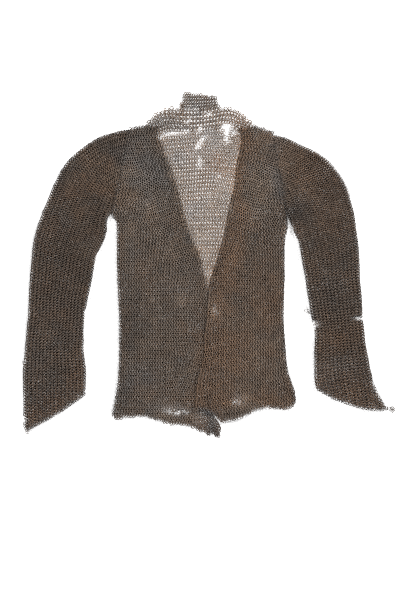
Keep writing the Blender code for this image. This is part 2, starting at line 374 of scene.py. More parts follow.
def heights_of(name):
    """The height of a solid's upper surface over each cell, and minus infinity where the solid isn't."""
    heights = np.full(grid_shape, -np.inf)
    mesh = nodes[name].data
    mesh.calc_loop_triangles()
    corners = np.array([[mesh.vertices[v].co for v in face.vertices] for face in mesh.loop_triangles])
    for a, b, c in corners:
        double_area = (b[0] - a[0]) * (c[1] - a[1]) - (b[1] - a[1]) * (c[0] - a[0])
        if abs(double_area) < UPRIGHT:
            continue
        low = ((np.min((a, b, c), axis=0)[:2] - grid_low) / GRID).astype(int)
        high = ((np.max((a, b, c), axis=0)[:2] - grid_low) / GRID).astype(int) + 2
        x = grid_low[0] + (np.arange(low[0], high[0])[:, None] + 0.5) * GRID
        y = grid_low[1] + (np.arange(low[1], high[1])[None, :] + 0.5) * GRID
        share_b = ((x - a[0]) * (c[1] - a[1]) - (y - a[1]) * (c[0] - a[0])) / double_area
        share_c = ((b[0] - a[0]) * (y - a[1]) - (b[1] - a[1]) * (x - a[0])) / double_area
        inside = (share_b >= 0) & (share_c >= 0) & (share_b + share_c <= 1)
        z = a[2] + share_b * (b[2] - a[2]) + share_c * (c[2] - a[2])
        part = heights[low[0]:high[0], low[1]:high[1]]
        part[:] = np.where(inside, np.maximum(part, z), part)
    return heights


HEIGHTS = {name: heights_of(name) for name in nodes}
COVER = {name: np.isfinite(heights) for name, heights in HEIGHTS.items()}
print("mm2 covered:", {name: int(cover.sum() * (GRID / MM) ** 2) for name, cover in COVER.items()})

# %% [markdown]
# ## Room for a ring
# A ring has room where its middle is far enough inside the outline. At a free edge that is nearly the
# ring's own reach. On a fold the rings stand on edge, so their middles lie nearer to it, and rings on the
# two sides of a seam overlap. Shrinking and growing the covered cells gives all of these.

# %% Room for a ring
EDGE_OVERHANG = 1.1 * MM
EDGE_REACH = RING_REACH - EDGE_OVERHANG
FOLD_REACH = 1.5 * MM
SEAM_REACH = 0.6 * MM
SEAM_GAP = 1.5 * MM  # the solids don't quite touch, and their rings do
DIRECTIONS = 24


def round_steps(reach):
    for turn in np.arange(DIRECTIONS) * math.tau / DIRECTIONS:
        yield (round(reach / GRID * math.cos(turn)), round(reach / GRID * math.sin(turn)))


def shrink(cover, reach):
    """The cells that have cover all round them within the reach."""
    kept = cover.copy()
    for step in round_steps(reach):
        kept &= np.roll(cover, step, (0, 1))
    return kept


def grow(cover, reach):
    """The cells that have cover somewhere within the reach."""
    return ~shrink(~cover, reach)


def room_in(cover, neighbours, edge):
    """The cells where the middle of a ring may lie."""
    joined = np.any([cover] + [COVER[other] for other in neighbours], axis=0)
    closed = shrink(grow(joined, SEAM_GAP), SEAM_GAP)
    return shrink(closed, edge) & shrink(cover, SEAM_REACH)


print("from a free edge to a ring's middle in mm:", round(EDGE_REACH / MM, 2))

# %% [markdown]
# ## Patches of the cloth
# Tears, stains and worn places are all taken as ovals, each with its middle and half sizes in millimetres
# and its turn in degrees. One function tells how deep in an oval a place is.

# %% Inside a patch
Oval = namedtuple("Oval", "x y wide tall turn")


def depth_in(patch, x, y):
    """How deep a place is in an oval patch: 0 at its middle, 1 at its rim and more outside."""
    turn = math.radians(patch.turn)
    dx, dy = x / MM - patch.x, y / MM - patch.y
    along = dx * math.cos(turn) + dy * math.sin(turn)
    aside = dy * math.cos(turn) - dx * math.sin(turn)
    return np.hypot(along / patch.wide, aside / patch.tall)


print("depth on the rim of an oval:", depth_in(Oval(0, 0, 20, 10, 0), 20 * MM, 0.0))

# %% [markdown]
# ## Rings on a fold
# Where mail is folded its rings turn from lying flat to standing on edge, and the outermost wire follows
# the fold. So near a fold a ring is tipped just so far that its wire touches the fold and doesn't stick
# out. Without this the folded edge of a sleeve looks furry.

# %% Tipping towards a fold
LEAST_FLAT = 0.2  # a ring right on a fold is seen nearly edge-on


def flat_share(near):
    """How flat a ring lies at this distance from a fold: the cosine of its tip."""
    return min(max((near - LIGHT_WIRE / 2) / RING, LEAST_FLAT), 1)


def steepness(flat):
    """The slope of a ring that is so flat."""
    return math.sqrt(1 / flat**2 - 1)


print("slope of a ring on a fold:", round(steepness(LEAST_FLAT), 1))

# %% [markdown]
# ## Rows of rings
# In a row the rings lie one pitch apart, and each row is set half a pitch along from the last, so that a
# ring sits between the two that hold it. The light rings lie nearly flat and the heavy rows between them
# stand up more steeply. So the holes show in every second row, and that gives old mail its open, dotted
# look. Rings that lean like this pass through most of their neighbours on the torso. In the sleeves' upper
# layers and round the neck they pass through about half of them and only overlap the others.

# %% One row
EASE = 4  # rings over which a row is eased so that it ends flush with the edge
ALONG = 1 * MM  # the step at which a row's line is followed
END_SLACK = 9  # a ring may stand a ninth of a pitch past the end of the room

Ring = namedtuple("Ring", "x y z axis kind")
Lay = namedtuple("Lay", "light heavy slant")  # degrees: how the two sorts of row lean, and the lean's turn


def nearest_gap(sites, place):
    """How far the nearest site is from the place, with its sign."""
    return place - sites[np.abs(sites - place).argmin()]


def runs_of(free):
    """The first and last index of each run of True."""
    edges = np.flatnonzero(np.diff(np.concatenate([[0], free.astype(int), [0]])))
    return zip(edges[::2], edges[1::2] - 1)


def string_row(along, places, sites, pitch, odd, room):
    """The sites that have room, eased along the row so that its ends are flush with the edges."""
    strung = [np.empty(0)]
    for first, last in runs_of(room[cells_at(places)]):
        start, end = along[first], along[last]
        if end - start < pitch / 2:
            continue
        from_start = nearest_gap(sites - odd * pitch / 2, start)
        from_end = nearest_gap(sites + odd * pitch / 2, end)
        eased = sites + from_start * np.exp(-np.maximum(sites - start, 0) / (EASE * pitch))
        eased += from_end * np.exp(-np.maximum(end - sites, 0) / (EASE * pitch))
        strung.append(eased[(eased > start - pitch / END_SLACK) & (eased < end + pitch / END_SLACK)])
    return np.concatenate(strung)


print("runs in a short row:", [(int(a), int(b)) for a, b in runs_of(np.array([True, True, False, True]))])

# %% [markdown]
# ## Small irregularities
# Hand-made mail is never even. The cloth as a whole is pulled about and has low swells, which a smooth noise
# gives, and each ring is a little off its place, which is left to chance. Both are seeded, so that the shirt
# comes out the same each time.

# %% Noise and chance
SEED = 1600
Cloud = namedtuple("Cloud", "wide tall seed amount")  # a smooth noise: the size of its clouds in metres
DRIFT, FINE_DRIFT = Cloud(0.045, 0.045, 0.5, 1.6), Cloud(0.018, 0.018, 9.5, 0.5)  # amounts in mm
SWELL, FINE_SWELL = Cloud(0.075, 0.11, 0.0, 0.9), Cloud(0.028, 0.028, 7.3, 0.35)

rng = np.random.default_rng(SEED)
noise.seed_set(SEED)  # noise_vector differs from run to run without it


def cloudy(x, y, cloud, layer=0.0):
    """What a cloud adds at a place. Each layer has other clouds."""
    return cloud.amount * noise.noise(Vector((x / cloud.wide, y / cloud.tall, layer + cloud.seed)))


def drift(x, y):
    """How far the cloth is pulled about at a place, as two smooth noises."""
    wide, fine = (
        noise.noise_vector(Vector((x / cloud.wide, y / cloud.tall, cloud.seed))) * cloud.amount * MM
        for cloud in (DRIFT, FINE_DRIFT)
    )
    pulled = wide + fine
    return pulled.x, pulled.y


def swell(x, y, layer):
    """Small ups and downs of the cloth."""
    return (cloudy(x, y, SWELL, layer) + cloudy(x, y, FINE_SWELL, layer)) * MM


print("drift at the middle in mm:", [round(v / MM, 2) for v in drift(0, 0)])

# %% [markdown]
# ## How a ring stands
# Each ring follows the slope of the cloth and leans along its row. A ring that stands steeply is lifted
# until its lowest corner is clear of the floor.

# %% How a ring stands
LEAN_JITTER, SLANT_JITTER = 4.0, 6.0  # degrees
PLACE_JITTER = 0.10 * MM
SLOPE_REACH = 3 * MM


def slope_of(height, x, y):
    return (
        (height(x + SLOPE_REACH, y) - height(x - SLOPE_REACH, y)) / (2 * SLOPE_REACH),
        (height(x, y + SLOPE_REACH) - height(x, y - SLOPE_REACH)) / (2 * SLOPE_REACH),
    )


def hang_ring(x, y, z, slope, direction, lean, slant, kind):
    """A ring on cloth of this slope, leaning this much along its row. The slant turns the lean aside."""
    lean = math.radians(lean + rng.normal(0, LEAN_JITTER))
    slant = math.radians(slant + rng.normal(0, SLANT_JITTER))
    upright = Vector((-slope[0], -slope[1], 1.0)).normalized()
    along = Vector((direction[0], direction[1], 0.0)).normalized()
    along = Vector((
        along.x * math.cos(slant) - along.y * math.sin(slant),
        along.x * math.sin(slant) + along.y * math.cos(slant),
        0.0,
    ))
    along = (along - upright * along.dot(upright)).normalized()
    axis = upright * math.cos(lean) + along * math.sin(lean)
    shift = rng.normal(0, PLACE_JITTER, 3)
    resting = CORNER_REACH * math.sqrt(max(1 - axis.z**2, 0)) + HEAVY_WIRE / 2  # on the floor
    return Ring(x + shift[0], y + shift[1], max(z + shift[2], resting), axis, kind)


print("slope of a plane:", [round(v, 3) for v in slope_of(lambda x, y: x + 2 * y, 0.0, 0.0)])

# %% [markdown]
# ## How the mail lies
# The torso's rows run across it, and low down they climb towards the wearer's left, where the left front
# was pulled aside. Swirls turn them round the chest, the armpits and the neck. The back and the fronts
# swing alike, and the back's rows are set between those of the fronts, because then hardly any light passes
# through both. Where the cloth is pulled askew, both sorts of row lean about as much, and the dots become a
# fine grain.

# %% How the torso's rings lean
BENEATH_LAY = Lay(-14, 14, 0)
BODY_LAY = Lay(-8, 60, -22)
NECK_LAY = Lay(-8, 60, -22)
COLLAR_LAY = Lay(-26, 44, 22)
HEM_LAY = Lay(-16, 26, 0)  # where the back shows below the fronts
PULLED_LAY = Lay(-24, 30, 0)
LEAST_PULL, PULL_CLOUDS = 0.6, Cloud(0.03, 0.02, 4.4, 0.3)  # how far the fronts are pulled everywhere

Swirl = namedtuple("Swirl", "x y reach turn")  # a spot where the rows are turned, in mm and degrees
BODY_SWIRLS = [
    Swirl(-138, 190, 40, 38),
    Swirl(-84, 96, 36, 34),
    Swirl(-52, 14, 30, 18),
    Swirl(138, 215, 44, -32),
    Swirl(84, 112, 40, -30),
    Swirl(-212, 160, 24, 25),
    Swirl(182, 130, 24, -25),
    Swirl(-34, -258, 26, -30),
]
NECK_SWIRLS = [
    Swirl(-60, 292, 50, 8),
    Swirl(-112, 340, 24, 30),
    Swirl(86, 352, 34, -34),
    Swirl(46, 190, 34, -14),
]


def pulled_share(x, y, swirls):
    """How far the cloth at a place is pulled askew, from 0 to 1."""
    return max(
        math.exp(-(((x - swirl.x * MM) ** 2 + (y - swirl.y * MM) ** 2) / (swirl.reach * MM) ** 2) ** 2 / 2)
        for swirl in swirls
    )


def pulled_lay(x, y):
    """How the rings of a front lie."""
    uneven = LEAST_PULL + cloudy(x, y, PULL_CLOUDS)
    share = min(max(pulled_share(x, y, BODY_SWIRLS), uneven, 0.0), 1.0)
    return Lay(*(a + (b - a) * share for a, b in zip(BODY_LAY, PULLED_LAY)))


print("swirls:", len(BODY_SWIRLS + NECK_SWIRLS))

# %% [markdown]
# ## Where the torso's rows run
# A row is level cloth that has been pulled out of place. So each place on it is worked out from the level
# cloth: first it climbs, low down and on the wearer's left, and then each swirl turns it round a spot. Each
# panel has its own weave: a pitch, from ring to ring along a row, and a step, from row to row.

# %% Where the torso's rows run
CLIMB_SLOPE = 0.24  # low down
CLIMB_FROM_X, CLIMB_BEND = -10 * MM, 15 * MM
CLIMB_TOP, CLIMB_FULL, CLIMB_MOST = 40 * MM, -330 * MM, 1.2


def warped(x, level, swirls):
    """Where the cloth's place (x, level) lies once the rows have climbed and the swirls have turned them."""
    share = np.clip((CLIMB_TOP - level) / (CLIMB_TOP - CLIMB_FULL), 0, CLIMB_MOST)
    y = level + CLIMB_SLOPE * share * np.logaddexp(0, (x - CLIMB_FROM_X) / CLIMB_BEND) * CLIMB_BEND
    for swirl in swirls:
        dx, dy, reach = x - swirl.x * MM, y - swirl.y * MM, swirl.reach * MM
        turn = math.radians(swirl.turn) * np.exp(-(dx**2 + dy**2) / (2 * reach**2))
        x = swirl.x * MM + dx * np.cos(turn) - dy * np.sin(turn)
        y = swirl.y * MM + dx * np.sin(turn) + dy * np.cos(turn)
    return x, y


Weave = namedtuple("Weave", "pitch step shift swirls pulled")  # the shift is a share of the step
BODY_WEAVE = Weave(6.3 * MM, 5.05 * MM, 0.0, BODY_SWIRLS, 0.8)
BEHIND_WEAVE = Weave(6.3 * MM, 5.05 * MM, 0.57, BODY_SWIRLS, 0.8)
NECK_WEAVE = Weave(6.6 * MM, 4.85 * MM, 0.3, NECK_SWIRLS, 0.5)
BAND_WEAVE = Weave(7.7 * MM, 5.3 * MM, 0.1, NECK_SWIRLS, 0.6)
COLLAR_WEAVE = Weave(5.7 * MM, 4.2 * MM, 0.2, NECK_SWIRLS, 0.5)
print("pitch of the body's rings in mm:", BODY_WEAVE.pitch / MM)

# %% [markdown]
# ## Sides and heights
# Below the armpits the torso's sides are folds, so a ring there has to know how far the nearer side is. The
# height of a ring comes from the top of its solid, with the swells added.

# %% Sides and heights
ARMPIT_Y = 112 * MM
torso = COVER["back"] | COVER["front_right"] | COVER["front_left"]
torso_low = grid_low[0] + torso.argmax(0) * GRID
torso_high = grid_low[0] + (grid_shape[0] - torso[::-1].argmax(0)) * GRID


def from_side(x, y):
    """How far a place is from the nearer side of the torso."""
    if y > ARMPIT_Y:
        return math.inf
    row = cells_at(np.array([[x, y]]))[1][0]
    return min(x - torso_low[row], torso_high[row] - x)


def height_over(name, lift, layer):
    """A function that gives the height of the rings' middles over (x, y)."""
    heights = HEIGHTS[name]
    lowest_top = heights[COVER[name]].min()

    def height(x, y):
        top = heights[cells_at(np.array([[x, y]]))][0]
        if not math.isfinite(top):
            top = lowest_top
        return top + lift + swell(x, y, layer)

    return height


print("torso's width in mm at its middle:", round((torso_high - torso_low)[grid_shape[1] // 2] / MM))

# %% [markdown]
# ## Weaving a panel
# A panel's rows are followed one by one over its whole width. Where a row crosses the panel's room its
# rings are strung, and each ring then takes its height, slope and lean from its place. At the folds the
# fronts' rings tip down and the back's tip up.

# %% Weave a panel
WARP_WIDE, WARP_UNDER, WARP_OVER = 60 * MM, 90 * MM, 60 * MM  # how far off rows start that the warp brings in


def weave_panel(room, weave, height, lay_at, kind_at, side):
    """All the rings of a panel of the torso. lay_at and kind_at say how each ring stands and what it is.

    The side is 1 for a panel that turns down at the torso's sides, -1 for one that turns up there, or else 0.
    """
    cells = np.argwhere(room)
    low, high = grid_low + cells.min(0) * GRID, grid_low + cells.max(0) * GRID
    u = np.arange(low[0] - WARP_WIDE, high[0] + WARP_WIDE, ALONG)
    pitch, step = weave.pitch, weave.step
    rings = []
    for row in range(int((low[1] - WARP_UNDER) // step), int((high[1] + WARP_OVER) // step)):
        level = (row + weave.shift) * step
        odd = row % 2
        places = np.stack(warped(u, level, weave.swirls), 1)
        sites = (np.arange(u[0] // pitch - 2, u[-1] // pitch + 3) + odd / 2) * pitch
        for site in string_row(u, places, sites, pitch, odd, room):
            (before_x, x, after_x), (before_y, y, after_y) = warped(
                site + np.array([-MM, 0.0, MM]), level, weave.swirls
            )
            direction = (after_x - before_x, after_y - before_y)
            moved = drift(x, y)
            x, y = float(x) + weave.pulled * moved[0], float(y) + weave.pulled * moved[1]
            lay = lay_at(x, y)
            flat = flat_share(from_side(x, y)) if side else 1
            slope = np.array(slope_of(height, x, y))
            slope[0] -= side * math.copysign(steepness(flat), x)
            lean = (lay.heavy if odd else lay.light) * flat
            kind = kind_at(x, y)
            kind += odd if kind in PAIRED else 0
            rings.append(hang_ring(x, y, height(x, y), slope, direction, lean, lay.slant, kind))
    return rings


print("rows begin", round(WARP_UNDER / MM), "mm below a panel's room")

# %% [markdown]
# ## The back's open part
# The back shows in the V between the fronts and behind the neck. There its mail is lighter and more open,
# and a slanting tear parts the band behind the neck from the panel in the V. Both go on a little under the
# fronts. The rest of the back is hidden, but for the hem and its tongue, which show below the fronts.

# %% Regions of the torso
NECK_OVERLAP, BEHIND_OVERLAP = 9 * MM, 2 * MM  # how far the open back goes on under the fronts
TEAR_LINE, TEAR_SLOPE, TEAR_MIDDLE, TEAR_HALF = 316 * MM, 0.2, -60 * MM, 50 * MM
BACK_PARTING = -60 * MM  # the hidden back is made in two halves, so that neither has too many triangles

cell_x = (grid_low[0] + (np.arange(grid_shape[0]) + 0.5) * GRID)[:, None]
cell_y = (grid_low[1] + (np.arange(grid_shape[1]) + 0.5) * GRID)[None, :]
fronts = COVER["front_right"] | COVER["front_left"]
bare_back = COVER["back"] & ~fronts & (cell_y > BACK_PARTING)
open_back = grow(bare_back, NECK_OVERLAP) & COVER["back"]
tear_y = TEAR_LINE + TEAR_SLOPE * (cell_x - TEAR_MIDDLE).clip(-TEAR_HALF, TEAR_HALF)
band = open_back & (cell_y > tear_y)
REGIONS = {
    "front_right": COVER["front_right"],
    "front_left": COVER["front_left"],
    "neck_band": band,
    "neck_panel": open_back & ~band,
    "back": COVER["back"] & ~grow(bare_back, BEHIND_OVERLAP),
    "collar": COVER["collar"],
}
print("regions:", ", ".join(REGIONS))

# %% [markdown]
# ## Panels of the torso
# Every panel is woven in the same way, with its own room, weave, height and lean. Only the back changes on
# its way: under the fronts its rings are plain and nearly flat, and below them, at the hem, they are as
# round as those of the neck band.

# %% Panels of the torso
LAYER_LIFT = -0.4 * MM  # from the top of a solid to the middle of the rings
NECK_LIFT = 0.9 * MM
BEHIND_LIFT = -1.5 * MM
NECK_EDGE = 1.6 * MM  # along the neck the outermost loops stand well out


def constant(value):
    return lambda x, y: value


def hidden(x, y):
    return fronts[cells_at(np.array([[x, y]]))][0]


def back_kind(x, y):
    return BENEATH if hidden(x, y) else BAND


def back_lay(x, y):
    return BENEATH_LAY if hidden(x, y) else HEM_LAY


Panel = namedtuple("Panel", "name neighbours edge weave solid lift swell lay kind side")
PANELS = [
    Panel("front_right", ["sleeve_right"], FOLD_REACH, BODY_WEAVE, "front_right", LAYER_LIFT, 2.0,
          pulled_lay, constant(PLAIN), 1),
    Panel("front_left", ["sleeve_left"], FOLD_REACH, BODY_WEAVE, "front_left", LAYER_LIFT, 3.0,
          pulled_lay, constant(PLAIN), 1),
    Panel("neck_band", ["back", "collar"], NECK_EDGE, BAND_WEAVE, "back", NECK_LIFT, 1.0,
          constant(NECK_LAY), constant(BAND), 0),
    Panel("neck_panel", ["back"], EDGE_REACH, NECK_WEAVE, "back", NECK_LIFT, 1.0,
          constant(NECK_LAY), constant(FINE), 0),
    Panel("back", ["back", "sleeve_right", "sleeve_left"], FOLD_REACH, BEHIND_WEAVE, "back", BEHIND_LIFT, 1.0,
          back_lay, back_kind, -1),
    Panel("collar", ["back"], NECK_EDGE, COLLAR_WEAVE, "collar", NECK_LIFT, 1.0,
          constant(COLLAR_LAY), constant(SMALL), 0),
]
rings_of = {}
for panel in PANELS:
    room = room_in(REGIONS[panel.name], panel.neighbours, panel.edge)
    height = height_over(panel.solid, panel.lift, panel.swell)
    rings_of[panel.name] = weave_panel(room, panel.weave, height, panel.lay, panel.kind, panel.side)
    print(panel.name, len(rings_of[panel.name]), "rings")

# %% [markdown]
# ## Sleeves
# A sleeve is a tube that lies flat, with a fold along its outer side and one along its inner side. Its rows
# run down the arm, beside a guide line that is a smooth curve through a few points, and they follow the
# outer fold.

# %% Sleeve guides
SLEEVE_PITCH = 6.9 * MM
LEAST_PITCH = 5.3 * MM
LEAST_STEP, MOST_STEP = 4.2 * MM, 5.2 * MM
WIDEST = 150 * MM  # no fold is further from the guide
SMOOTHING = 25  # steps along the guide, to each side
Guide = namedtuple("Guide", "x y")
Sleeve = namedtuple("Sleeve", "name guide rows outwards true_from true_to flares_from front slant")
SLEEVES = [
    Sleeve(
        "sleeve_right",
        [
            Guide(-150, 232), Guide(-197, 226), Guide(-245, 206), Guide(-285, 166), Guide(-318, 95),
            Guide(-341, 10), Guide(-357, -110), Guide(-363, -230), Guide(-364, -340), Guide(-364, -430),
        ],
        33, -1, 0.10, 0.83, 0.86, "front_right", -25,
    ),
    Sleeve(
        "sleeve_left",
        [
            Guide(120, 226), Guide(168, 218), Guide(215, 194), Guide(252, 158), Guide(278, 110),
            Guide(296, 38), Guide(307, -60), Guide(318, -160), Guide(328, -250), Guide(340, -330),
            Guide(350, -400),
        ],
        28, 1, 0.12, 0.80, 0.84, "front_left", -25,
    ),
]
print("guides:", {sleeve.name: len(sleeve.guide) for sleeve in SLEEVES})

# %% [markdown]
# ## The folds of a sleeve
# The folds are measured on the solid: how far they are from the guide, smoothed. Near the shoulder and
# beyond the cuff, where the solid's outline is no fold, that distance goes on as it was.

# %% The lines of a sleeve
def smooth_curve(corners, steps=40):
    """The Catmull-Rom curve through the corners."""
    corners = np.array(corners, float)
    padded = np.vstack([2 * corners[0] - corners[1], corners, 2 * corners[-1] - corners[-2]])
    t = np.arange(steps)[:, None] / steps
    found = []
    for a, b, c, d in zip(padded, padded[1:], padded[2:], padded[3:]):
        found.append(
            (2 * b + (c - a) * t + (2 * a - 5 * b + 4 * c - d) * t**2 + (3 * b - a - 3 * c + d) * t**3) / 2
        )
    return np.vstack([*found, corners[-1:]])


def lengths_along(places):
    return np.concatenate([[0], np.cumsum(np.linalg.norm(np.diff(places, axis=0), axis=1))])


class SleeveShape:
    """The lines of a sleeve: a guide down its middle, and the two folds to the sides of it."""

    def __init__(self, sleeve):
        curve = smooth_curve(sleeve.guide) * MM
        travelled = lengths_along(curve)
        self.u = np.arange(0, travelled[-1], ALONG)
        self.guide = np.stack([np.interp(self.u, travelled, curve[:, axis]) for axis in (0, 1)], 1)
        heading = np.gradient(self.guide, axis=0)
        heading /= np.linalg.norm(heading, axis=1)[:, None]
        self.across = np.stack([heading[:, 1], -heading[:, 0]], 1)
        if self.across[len(self.u) // 2][0] * sleeve.outwards < 0:
            self.across = -self.across
        self.outer, self.real_outer = self.reach(sleeve, 1)
        self.inner, _ = self.reach(sleeve, -1)
        self.width = self.outer + self.inner - 2 * FOLD_REACH
        self.step = (self.width / sleeve.rows).clip(LEAST_STEP, MOST_STEP)

    def reach(self, sleeve, side):
        """How far the fold on one side is from the guide: first smoothed, then as it is."""
        distances = np.arange(0, WIDEST, GRID)
        places = self.guide[:, None] + side * self.across[:, None] * distances[None, :, None]
        inside = COVER[sleeve.name][cells_at(places.reshape(-1, 2))].reshape(places.shape[:2])
        found = distances[(~inside).argmax(1)]
        real = np.where(inside, distances, 0).max(1)
        first, last = (int(share * len(self.u)) for share in (sleeve.true_from, sleeve.true_to))
        found = np.interp(np.arange(len(found)), np.arange(first, last), found[first:last])
        window = 2 * SMOOTHING + 1
        padded = np.pad(found, SMOOTHING, mode="edge")
        return np.convolve(padded, np.ones(window) / window, "valid"), real

    def row(self, number):
        """The line of a row, counted from the outer fold. The number needn't be whole."""
        offset = self.outer - FOLD_REACH - number * self.step
        return self.guide + self.across * offset[:, None]


print("places on a curve through three corners:", len(smooth_curve([(0, 0), (1, 1), (2, 0)])))

# %% [markdown]
# ## Knitting down the arm
# Where the sleeve bends, its inner rows are shorter than its outer ones. A real maker leaves out rings
# there, and so does this knitting: each row's rings lie between those of the row before, and where they
# crowd, one is dropped and its neighbours spread out.

# %% Knitting down the arm
FIRST_ROW = -7  # rows outside the fold, for where the cuff flares
CROWD = 6  # gaps over which crowding is measured
SPREAD_OVER, SPREAD_TIMES = 8, 20


def relaxed(sites, middle):
    """The sites with those near the middle one spread evenly."""
    near = sites[max(middle - SPREAD_OVER, 0):middle + SPREAD_OVER + 1]
    for _ in range(SPREAD_TIMES):
        near[1:-1] = near[1:-1] / 2 + (near[:-2] + near[2:]) / 4
    return sites


def next_row(sites, odd):
    """Sites between those of the row before, and one more at an end."""
    found = (sites[1:] + sites[:-1]) / 2
    if odd:
        return np.append(found, 2 * found[-1] - found[-2])
    return np.insert(found, 0, 2 * found[0] - found[1])


def knit(shape, rows):
    """For each row, the places of its rings, as lengths along the guide."""
    sites = None
    found = []
    for number in range(FIRST_ROW, rows):
        lengths = lengths_along(shape.row(number + 0.5))
        if sites is None:
            spots = np.arange(0, lengths[-1], SLEEVE_PITCH)
        else:
            spots = np.interp(next_row(sites, number % 2), shape.u, lengths)
            while True:
                crowding = np.convolve(np.diff(spots), np.ones(CROWD) / CROWD, "valid")
                if crowding.min() >= LEAST_PITCH:
                    break
                middle = int(crowding.argmin()) + CROWD // 2
                spots = relaxed(np.delete(spots, middle), middle)
        sites = np.interp(spots, lengths, shape.u)
        found.append((number, sites))
    return found


print("rows outside the fold:", -FIRST_ROW)

# %% [markdown]
# ## Two layers of a sleeve
# The knitting is used twice, for the layer on top and the one beneath. The lower layer's rows are set
# between the upper one's, so that the sleeve looks dense. Towards the folds both layers come together at
# half height, and their rings tip over. Along the shoulders single open loops stand on the outer fold, and
# there the layer beneath stops short of it. Where the cuff flares out past the fold, the rings tip towards
# its real edge.

# %% Two layers of a sleeve
LAYER_OFFSET = 0.17  # of a row step: the upper layer's rows lie this much inwards, the lower one's outwards
MIDDLE_HEIGHT = 3.5 * MM
UPPER_RISE, LOWER_DROP = 2.0 * MM, 2.0 * MM
SLEEVE_LAY = Lay(-8, 60, 0)
OUTER_SLACK, INNER_SLACK = 0.3, 0.75  # how many steps outside the folds a row may start or end

LOOP_FLAT = 0.7
FOLD_LOOPS = [
    Oval(264, 264, 60, 14, -33),
    Oval(326, 199, 50, 14, -57),
    Oval(-262, 302, 30, 12, 22),
]


def weave_sleeve(sleeve, layer):
    """The rings of the sleeve's upper and lower layer."""
    shape = SleeveShape(sleeve)
    cover = COVER[sleeve.name]
    most = int(math.ceil((shape.width / shape.step).max())) + 1
    knitted = knit(shape, most)
    woven = []
    for beneath in (False, True):
        neighbour = "back" if beneath else sleeve.front
        room = room_in(cover, [neighbour, sleeve.front], FOLD_REACH)
        side = -1 if beneath else 1
        level = MIDDLE_HEIGHT + (-LOWER_DROP if beneath else UPPER_RISE)

        def height(x, y):
            return level + (0 if beneath else swell(x, y, layer))

        rings = []
        for number, sites in knitted:
            line_number = number + 1 - LAYER_OFFSET if beneath else number + LAYER_OFFSET
            line = shape.row(line_number)
            lengths = lengths_along(line)
            odd = number % 2
            spots = np.interp(sites, shape.u, lengths)
            heading = np.gradient(line, axis=0)
            for place in np.interp(
                string_row(lengths, line, spots, SLEEVE_PITCH, odd, room), lengths, shape.u
            ):
                index = min(int(place / ALONG), len(shape.u) - 1)
                from_outer = line_number * shape.step[index]
                from_inner = shape.width[index] - from_outer
                step = shape.step[index]
                flares = place > sleeve.flares_from * len(shape.u) * ALONG
                outside = from_outer < -OUTER_SLACK * step or from_inner < -INNER_SLACK * step
                if outside and not flares:
                    continue
                x, y = (float(np.interp(place, shape.u, line[:, axis])) for axis in (0, 1))
                if from_inner < 0 and not flares:  # a row that would fall beyond the inner fold lies on it
                    x, y = (float(v) for v in np.array([x, y]) - shape.across[index] * from_inner)
                moved = drift(x, y)
                x, y = x + moved[0], y + moved[1]
                looped = from_outer < step / 2 and any(depth_in(loops, x, y) < 1 for loops in FOLD_LOOPS)
                if looped and beneath:
                    continue
                share = LOOP_FLAT if looped else flat_share(min(from_outer, from_inner) + FOLD_REACH)
                if from_outer < -step:  # in the flare of the cuff
                    aside = (np.array([x, y]) - shape.guide[index]) @ shape.across[index]
                    share = flat_share(shape.real_outer[index] - aside)
                round_over = math.sqrt(1 - (1 - share) ** 2)
                z = MIDDLE_HEIGHT + (height(x, y) - MIDDLE_HEIGHT) * round_over
                outwards = shape.across[index] * (1 if from_outer < from_inner else -1)
                slope = np.array(slope_of(height, x, y)) - outwards * side * steepness(share)
                lay = BENEATH_LAY if beneath else SLEEVE_LAY
                lean = (lay.heavy if odd else lay.light) * (0 if looped else share)
                kind = BENEATH if beneath else (FINE if looped else PLAIN + odd)
                rings.append(hang_ring(x, y, z, slope, heading[index], lean, sleeve.slant, kind))
        woven.append(rings)
        print(sleeve.name, "lower" if beneath else "upper", "layer:", len(rings), "rings")
    return woven


for order, sleeve in enumerate(SLEEVES):
    rings_of[sleeve.name], rings_of[sleeve.name + "_under"] = weave_sleeve(sleeve, 4.0 + order)

# %% [markdown]
# ## Tears
# Old mail is torn where links rusted through. A tear is an oval in which all or a share of the rings are
# missing, so the rows are strung as for whole mail and rings are then taken out by chance.

# %% Tears
Tear = namedtuple("Tear", "x y wide tall turn share")
NECK_TEARS = [Tear(*row) for row in (
    (51, 325, 16, 13, 30, 1.0), (49, 300, 5, 14, 10, 1.0), (45, 309, 9, 8, 0, 0.6),
    (-84, 312, 26, 4.2, 10, 0.85), (-118, 303, 12, 9, 0, 0.6), (-44, 318, 12, 4, 0, 0.7),
    (-16, 318, 4, 18, -8, 0.75), (-9, 298, 16, 4, 50, 0.5), (-17, 281, 5, 9.5, 0, 1.0),
    (-14, 242, 4, 14, 0, 1.0), (7, 358, 6, 9, 30, 0.85), (14, 338, 4, 7, 0, 0.7),
    (-40, 345, 6, 4, 0, 0.6), (38, 208, 9, 6, 0, 0.35), (70, 312, 7, 5, 0, 0.5),
)]
FRONT_TEARS = [Tear(*row) for row in (
    (21, -110, 7, 17, 15, 0.6), (2, -62, 5, 14, -25, 0.5), (-53, -91, 7, 13, 10, 0.42),
    (-74, -354, 38, 9, -4, 0.52), (81, -331, 24, 11, 26, 0.48), (-157, -125, 4, 3, 0, 0.8),
    (-93, -320, 3, 4, 0, 0.8), (-42, -334, 4, 3, 0, 0.8), (-7, -140, 4, 4, 0, 0.7),
    (-20, -150, 3, 3, 0, 0.7), (-36, -161, 4, 3, 0, 0.7), (33, -379, 21, 4, -52, 1.0),
    (-190, -61, 13, 3, 0, 0.5), (-88, -122, 15, 4, 20, 0.35),
)]
